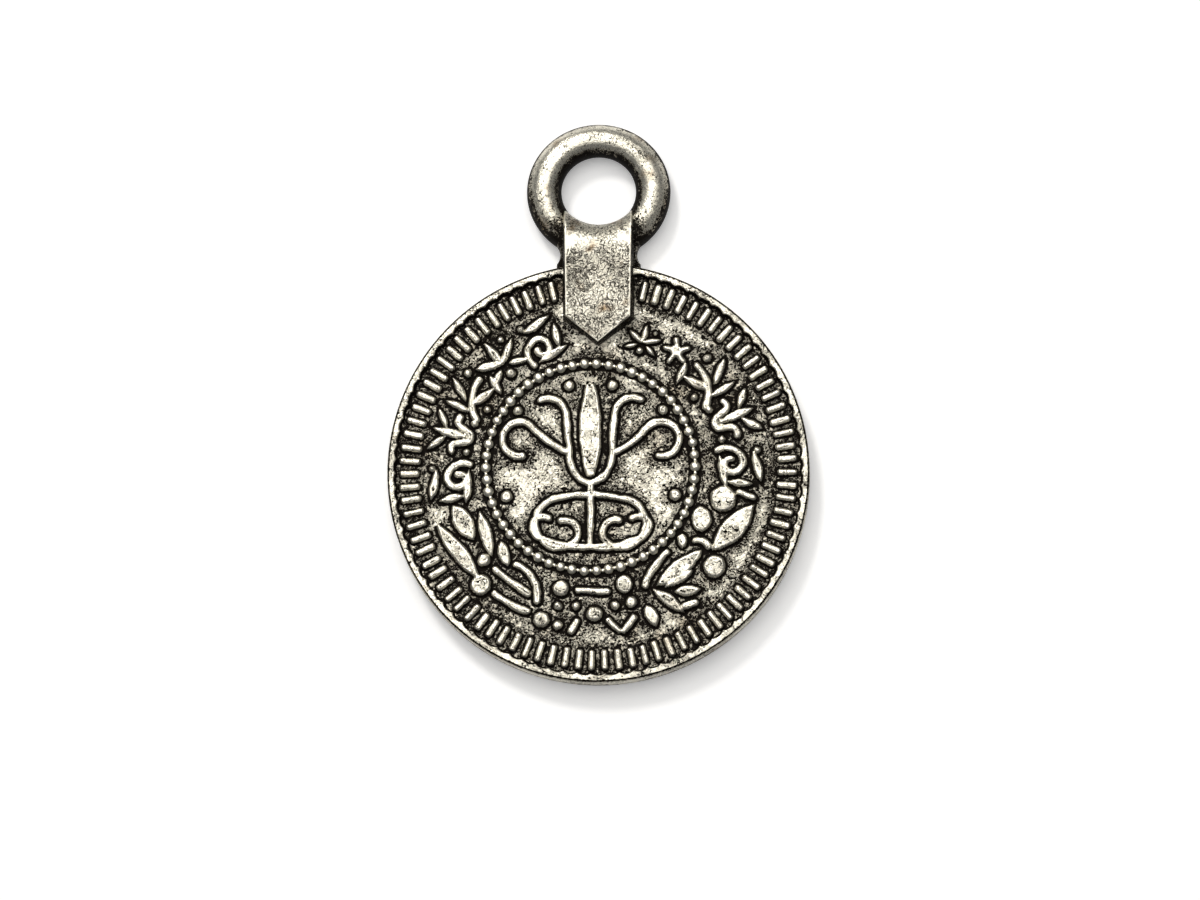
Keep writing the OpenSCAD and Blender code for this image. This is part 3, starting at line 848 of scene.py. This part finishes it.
class PENDANT_OT_beads(bpy.types.Operator):
    """Sets the beads and the tiny beads between them on their circle"""
    bl_idname = "pendant.beads"
    bl_label = "Bead circle"

    def execute(self, context):
        coin = context.scene.pendant_coin
        field = (coin.thickness - coin.field_depth) / MM
        middle = Vector((-coin.bead_circle_left, coin.bead_circle_up, 0)) / MM
        rise, wide, link = coin.relief_rise / MM, coin.bead_width / MM, coin.link_width / MM
        circle_r = coin.bead_circle_width / MM / 2
        level = field + rise - wide / 2 * BEAD_SHAPE[2]
        bm = bmesh.new()
        for count in range(coin.bead_count * 2):
            odd = np.array([[count * 1.7, count * 0.9]])
            angle = math.pi * count / coin.bead_count + 0.006 * float(noise(odd, 1, 40)[0])
            if count % 2 == 0:
                size, around, up = wide * (0.95 + 0.10 * float(noise(odd, 1, 41)[0])), 14, 8
            else:
                size, around, up = link * 1.25, 8, 5
            far = circle_r + 0.03 * float(noise(odd, 1, 42)[0])
            spot = middle + Vector((far * math.cos(angle), far * math.sin(angle), level))
            matrix = Matrix.Translation(spot) @ Matrix.Diagonal(BEAD_SHAPE)
            bmesh.ops.create_uvsphere(bm, u_segments=around, v_segments=up, radius=size / 2,
                                      matrix=matrix)

        def patina_and_shade(points):
            height = (points[:, 2] - level) / (wide / 2)
            value = 1.3 - 1.27 * ease(-0.12, 0.12, height) + 0.08 * noise(points, 0.3, 43)
            return np.clip(value, 0.03, 1.3)

        finish_piece("beads", bm, patina_and_shade, silver("silver_beads"))
        return {"FINISHED"}


class PENDANT_OT_ring(bpy.types.Operator):
    """Spins the oval ring"""
    bl_idname = "pendant.ring"
    bl_label = "Ring"

    def execute(self, context):
        coin, hanger = context.scene.pendant_coin, context.scene.pendant_hanger
        thick, high = hanger.ring_thickness / MM, hanger.ring_height / MM
        middle_y = (coin.width / 2 + hanger.ring_gap + hanger.ring_height / 2) / MM
        bend = (high - thick) / 2
        wide_share = hanger.ring_width / hanger.ring_height
        bm = bmesh.new()
        bmesh.ops.create_circle(bm, segments=RING_SIDES, radius=thick / 2)
        bmesh.ops.rotate(bm, verts=bm.verts, cent=(0, 0, 0),
                         matrix=Matrix.Rotation(math.pi / 2, 3, "X"))
        bmesh.ops.translate(bm, verts=bm.verts, vec=(bend, 0, 0))
        bmesh.ops.spin(bm, geom=list(bm.verts) + list(bm.edges), cent=(0, 0, 0), axis=(0, 0, 1),
                       angle=2 * math.pi, steps=RING_STEPS, use_merge=True)
        bmesh.ops.scale(bm, verts=bm.verts, vec=(wide_share, 1, 1))
        bmesh.ops.translate(bm, verts=bm.verts, vec=(0, middle_y, thick / 2))
        bmesh.ops.remove_doubles(bm, verts=bm.verts, dist=WELD)
        bmesh.ops.recalc_face_normals(bm, faces=bm.faces)

        def patina_and_shade(points):
            out = np.hypot(points[:, 0] / wide_share, points[:, 1] - middle_y) - bend
            height = (points[:, 2] - thick / 2) / (thick / 2)
            around = np.degrees(np.arctan2(points[:, 1] - middle_y, points[:, 0]))
            # Painted reflections: the inner wall, a thin line just inside the top, the tube's
            # flanks below its top band and streaks on the outer flank at the sides and foot are
            # darkened, standing for dark surroundings mirrored at grazing angles; the inner wall
            # and the flanks are darkened less on the lower half. The pitted band on the top is
            # tarnish broken up by the specks.
            low_down = 1 - 0.5 * ease(0.05, -0.4, height)
            inner = ease(-0.46, -0.66, out) * low_down * (0.90 + 0.3 * noise(points, 0.8, 53))
            groove_and_painted_line = hill(out, -0.20, 0.05)
            painted_dark_flanks = ease(0.60, 0.26, height) * low_down
            beside = np.abs(np.abs(points[:, 0]) - hanger.strap_width / MM / 2)
            corner = ease(1.2, 0.1, beside) * ease(middle_y - 0.8, middle_y - 2.4, points[:, 1])
            low_sides = 0.25 + 0.75 * ease(35, 115, np.abs(((around + 90) % 360) - 180))
            outer = hill(out, 0.72, 0.14) * low_sides * (0.9 + 0.5 * noise(points, 1.5, 52))
            pitted = 0.30 * hill(out, 0.16, 0.24) * (0.8 + 0.5 * noise(points, 0.7, 54))
            value = (0.10 + pitted + 0.9 * inner + 1.1 * painted_dark_flanks + 0.7 * corner + 0.70 * outer
                     + 0.30 * groove_and_painted_line)
            value = value + 0.10 * noise(points, 1.3, 50) + 0.07 * noise(points, 0.4, 51)
            return np.clip(value, 0.03, BLACK)

        finish_piece("ring", bm, patina_and_shade, silver("silver_ring"))
        return {"FINISHED"}


class PENDANT_OT_neck(bpy.types.Operator):
    """Draws the neck between the coin and the ring, hollowed at its sides"""
    bl_idname = "pendant.neck"
    bl_label = "Neck"

    def execute(self, context):
        coin, hanger = context.scene.pendant_coin, context.scene.pendant_hanger
        radius = coin.width / MM / 2
        low, high = radius - 0.6, radius + (hanger.ring_gap + hanger.ring_thickness / 2) / MM
        thick = hanger.neck_thickness / MM
        narrow, round_r = hanger.neck_width / MM / 2, hanger.neck_hollow / MM
        waist_y = radius + (hanger.ring_gap + hanger.neck_hollow) / MM / 2
        bm = bmesh.new()
        bmesh.ops.create_cube(bm, size=1)
        bmesh.ops.scale(bm, verts=bm.verts, vec=(2 * narrow, high - low, thick))
        level = hanger.ring_thickness / MM / 2
        bmesh.ops.translate(bm, verts=bm.verts, vec=(0, (low + high) / 2, level))
        along = [edge for edge in bm.edges if abs(edge.verts[0].co.y - edge.verts[1].co.y) > 0.1]
        bmesh.ops.subdivide_edges(bm, edges=along, cuts=22, use_grid_fill=True)
        upright = [edge for edge in bm.edges if abs(edge.verts[0].co.z - edge.verts[1].co.z) > 0.1]
        bmesh.ops.subdivide_edges(bm, edges=upright, cuts=7, use_grid_fill=True)

        def hollow(points):
            hollow_depth = np.sqrt(np.maximum(round_r ** 2 - (points[:, 1] - waist_y) ** 2, 0))
            side = np.minimum(narrow + round_r - hollow_depth, narrow + round_r / 4)
            up = (points[:, 2] - level) / (thick / 2)
            points[:, 0] = np.sign(points[:, 0]) * (side - 0.12 * up ** 2)
            return points

        def patina_and_shade(points):
            return np.clip(0.82 + 0.2 * noise(points, 0.4, 55), 0, 1)

        bmesh.ops.recalc_face_normals(bm, faces=bm.faces)
        finish_piece("neck", bm, patina_and_shade, silver("silver_ring"), hollow)
        return {"FINISHED"}


class PENDANT_OT_strap(bpy.types.Operator):
    """Draws the pointed strap, rounded down over the ring"""
    bl_idname = "pendant.strap"
    bl_label = "Strap"

    def execute(self, context):
        coin, hanger = context.scene.pendant_coin, context.scene.pendant_hanger
        radius = coin.width / MM / 2
        hole_bottom = radius + (hanger.ring_gap + hanger.ring_thickness) / MM
        edge_y = hole_bottom + hanger.strap_overhang / MM
        arc_r = (hanger.ring_width / 2 - hanger.ring_thickness + hanger.strap_arc_extra) / MM
        arc_y = edge_y + arc_r
        tip_y = edge_y - hanger.strap_length / MM
        shoulder_y = tip_y + hanger.strap_point / MM
        top = (coin.thickness + hanger.strap_rise) / MM
        half, taper = hanger.strap_width / MM / 2, hanger.strap_taper / MM / 2
        turn_r = hanger.strap_round / MM
        bottom = hanger.ring_thickness / MM / 2
        columns, rows, turn_rows = STRAP_GRID
        bm = bmesh.new()
        bmesh.ops.create_grid(bm, x_segments=columns, y_segments=rows, size=1)
        flat_share = 1 - turn_rows / rows

        def half_at(y):
            return half - taper * np.clip((arc_y - y) / (arc_y - shoulder_y), 0, 1)

        def lay(points):
            """Draws the square grid out to the strap's outline and turns its end down."""
            across, up = points[:, 0], (points[:, 1] + 1) / 2
            x_top = across * half
            flat_end = arc_y - np.sqrt((arc_r + turn_r) ** 2 - x_top ** 2)
            low = tip_y + np.abs(across) * (shoulder_y - tip_y)
            share = np.clip(up / flat_share, 0, 1)
            turn = np.clip((up - flat_share) / (1 - flat_share), 0, 1) * math.pi / 2
            out = arc_r + turn_r * (1 - np.sin(turn))
            flat = low + (flat_end - low) * share
            y = np.where(turn > 0, arc_y - np.sqrt(out ** 2 - x_top ** 2), flat)
            y = np.minimum(y, edge_y + 0.75)
            z = top - turn_r * (1 - np.cos(turn))
            z = z - 0.012 + 0.008 * noise(np.column_stack([points[:, 0] * half, y]), 1.1, 60)
            return np.column_stack([across * half_at(y), y, z])

        for vert in bm.verts:
            vert.co = Vector(lay(np.array([vert.co[:]]))[0])
        rim = [edge for edge in bm.edges if edge.is_boundary]
        made = bmesh.ops.extrude_edge_only(bm, edges=rim)
        walls = [item for item in made["geom"] if isinstance(item, bmesh.types.BMVert)]
        for vert in walls:
            depth = vert.co.z - bottom
            lean = depth * math.tan(math.radians(STRAP_LEAN))
            if vert.co.y < edge_y - 0.05 or abs(vert.co.x) > half - 0.1:
                vert.co.x *= 1 + lean / half
            if vert.co.y < shoulder_y + 0.02:
                vert.co.y -= lean * 0.4
            vert.co.z = bottom
        bmesh.ops.holes_fill(bm, edges=[edge for edge in bm.edges if edge.is_boundary], sides=0)
        bmesh.ops.bevel(bm, geom=rim, offset=0.05, segments=2, profile=0.5, affect="EDGES",
                        material=-1, offset_type="OFFSET")
        bmesh.ops.recalc_face_normals(bm, faces=bm.faces)

        def patina_and_shade(points):
            x, y, z = points.T
            side = half_at(y) - np.abs(x)
            foot = tip_y + np.abs(x) / half_at(y) * (shoulder_y - tip_y)
            inset = np.minimum(side, (y - foot) * 0.79)
            on_face = z > top - turn_r * 0.92
            value = 0.325 + 0.13 * noise(points, 1.4, 61) + 0.08 * noise(points, 0.5, 62)
            # Brown stains lie beside the middle. A painted highlight band lies where the face rises
            # over the ring, and painted shade darkens the steep part where it turns down into the
            # hole. The face is kept bright along its edge.
            value = value + 0.20 * hill(y, 11.2, 1.2) * ease(0.2, 1.4, np.abs(x))
            value = value - 0.19 * hill(y, 13.3, 0.45)
            value = value + 0.35 * ease(0.75, 0.95, (top - z) / turn_r)
            value = np.where(inset < 0.07, 0.05, value)
            # Painted shade: the side walls and the underside are painted near black, a little
            # lighter lower down.
            wall = (inset < 0.012) & (y < edge_y - 0.3) | (z < top - turn_r - 0.02)
            folded = np.column_stack([x + y, z])
            shade = 1.25 + 0.30 * noise(folded, 0.5, 63) - 0.35 * ease(0.35, 0.9, top - z)
            return np.clip(np.where(wall, shade, value), 0.04, 1.6)

        finish_piece("strap", bm, patina_and_shade, silver("silver_strap"))
        return {"FINISHED"}


class PENDANT_OT_stage(bpy.types.Operator):
    """Lays the pale floor and sets the soft light and the camera"""
    bl_idname = "pendant.stage"
    bl_label = "Floor, light and camera"

    def execute(self, context):
        scene, stage = context.scene, context.scene.pendant_stage
        mesh = bpy.data.meshes.new("floor")
        bm = bmesh.new()
        bmesh.ops.create_grid(bm, x_segments=2, y_segments=2, size=1.5)
        bmesh.ops.translate(bm, verts=bm.verts, vec=(0, 0, -FLOOR_DROP * MM))
        bm.to_mesh(mesh)
        bm.free()
        floor = bpy.data.objects.new("floor", mesh)
        scene.collection.objects.link(floor)
        pale = bpy.data.materials.new("pale_floor")
        pale.use_nodes = True
        shader = pale.node_tree.nodes["Principled BSDF"]
        shader.inputs["Base Color"].default_value = FLOOR_COLOUR
        shader.inputs["Roughness"].default_value = 0.9
        shader.inputs["Specular IOR Level"].default_value = 0.1
        shader.inputs["Emission Color"].default_value = (1, 1, 1, 1)
        shader.inputs["Emission Strength"].default_value = FLOOR_GLOW
        mesh.materials.append(pale)

        world = bpy.data.worlds.new("studio")
        scene.world = world
        world.use_nodes = True
        sky = world.node_tree.nodes["Background"]
        sky.inputs["Color"].default_value = ROOM_COLOUR
        sky.inputs["Strength"].default_value = ROOM_LIGHT

        across, up = VIEW_OFFSET
        aim = Vector((across, coin_shift() * MM + up, scene.pendant_coin.thickness))
        for name, place, size, power, tone in LAMPS:
            data = bpy.data.lights.new(name, "AREA")
            data.shape, data.size, data.energy, data.color = "DISK", size, power, tone
            lit = bpy.data.objects.new(name, data)
            lit.location = Vector(place)
            lit.rotation_euler = (aim - Vector(place)).to_track_quat("-Z", "Y").to_euler()
            scene.collection.objects.link(lit)

        lean, side = math.sin(stage.tilt), math.sin(stage.side)
        back = Vector((side, -lean, math.sqrt(1 - lean ** 2 - side ** 2)))
        data = bpy.data.cameras.new("camera")
        data.lens, data.sensor_width = stage.lens, 36
        camera = bpy.data.objects.new("camera", data)
        right = Vector((0, 1, 0)).cross(back).normalized()
        turn = Matrix((right, back.cross(right), back)).transposed()
        camera.location = aim + back * (stage.frame_width * stage.lens / 36)
        camera.rotation_euler = turn.to_euler()
        scene.collection.objects.link(camera)
        data.clip_start, data.clip_end = 0.01, 10
        scene.camera = camera
        scene.view_settings.view_transform = "Standard"
        return {"FINISHED"}


class PENDANT_PT_panel(bpy.types.Panel):
    """Lists the pendant's pieces and sizes"""
    bl_idname = "PENDANT_PT_panel"
    bl_label = "Coin pendant"
    bl_space_type = "VIEW_3D"
    bl_region_type = "UI"
    bl_category = "Pendant"

    def draw(self, context):
        for operator in OPERATORS:
            self.layout.operator(operator.bl_idname)
        for group in GROUPS:
            values = getattr(context.scene, GROUPS[group])
            box = self.layout.box()
            for name in group.__annotations__:
                box.prop(values, name)


GROUPS = {
    PendantCoin: "pendant_coin",
    PendantHanger: "pendant_hanger",
    PendantFinish: "pendant_finish",
    PendantStage: "pendant_stage",
}
OPERATORS = [
    PENDANT_OT_stage,
    PENDANT_OT_coin_body,
    PENDANT_OT_coin_face,
    PENDANT_OT_beads,
    PENDANT_OT_ring,
    PENDANT_OT_neck,
    PENDANT_OT_strap,
]


def register():
    for cls in [*GROUPS, *OPERATORS, PENDANT_PT_panel]:
        bpy.utils.register_class(cls)
    for group, name in GROUPS.items():
        setattr(bpy.types.Scene, name, PointerProperty(type=group))


def unregister():
    for name in GROUPS.values():
        delattr(bpy.types.Scene, name)
    for cls in reversed([*GROUPS, *OPERATORS, PENDANT_PT_panel]):
        bpy.utils.unregister_class(cls)


def main():
    register()
    bpy.ops.pendant.stage()
    bpy.ops.pendant.coin_body()
    bpy.ops.pendant.coin_face()
    bpy.ops.pendant.beads()
    bpy.ops.pendant.ring()
    bpy.ops.pendant.neck()
    bpy.ops.pendant.strap()


if __name__ == "__main__":
    main()
